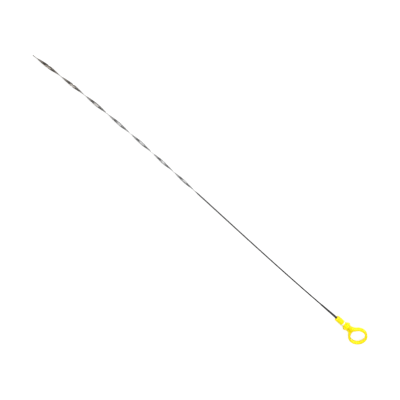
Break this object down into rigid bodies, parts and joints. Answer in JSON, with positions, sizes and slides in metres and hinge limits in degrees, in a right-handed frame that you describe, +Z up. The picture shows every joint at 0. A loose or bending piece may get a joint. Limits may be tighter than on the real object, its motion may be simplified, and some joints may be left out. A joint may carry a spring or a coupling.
{
  "type": "engine oil dipstick",
  "caption": "Long wire dipstick with a flat twisted blade, a black root sleeve, a sealed tube plug with a stop flange, and a yellow finger ring.",
  "frame": {"origin": "on the plug's axis, in the plane of the flange's seat, at the centre of the dipstick tube's mouth", "axes": "+X along the plug's axis towards the finger ring, the wire runs along -X, +Z up from the surface that the part lies on"},
  "size_m": [0.684, 0.03, 0.014],
  "materials": {
    "steel_wire": "drawn and rolled spring steel",
    "black_sleeve": "satin",
    "pale_seal": "matte",
    "yellow_moulding": "smooth moulded plastic"
  },
  "bodies": {
    "root": {"rod_and_blade": "steel_wire", "root_sleeve": "black_sleeve", "seal_ring": "pale_seal", "pull_handle": "yellow_moulding"}
  },
  "joints": []
}
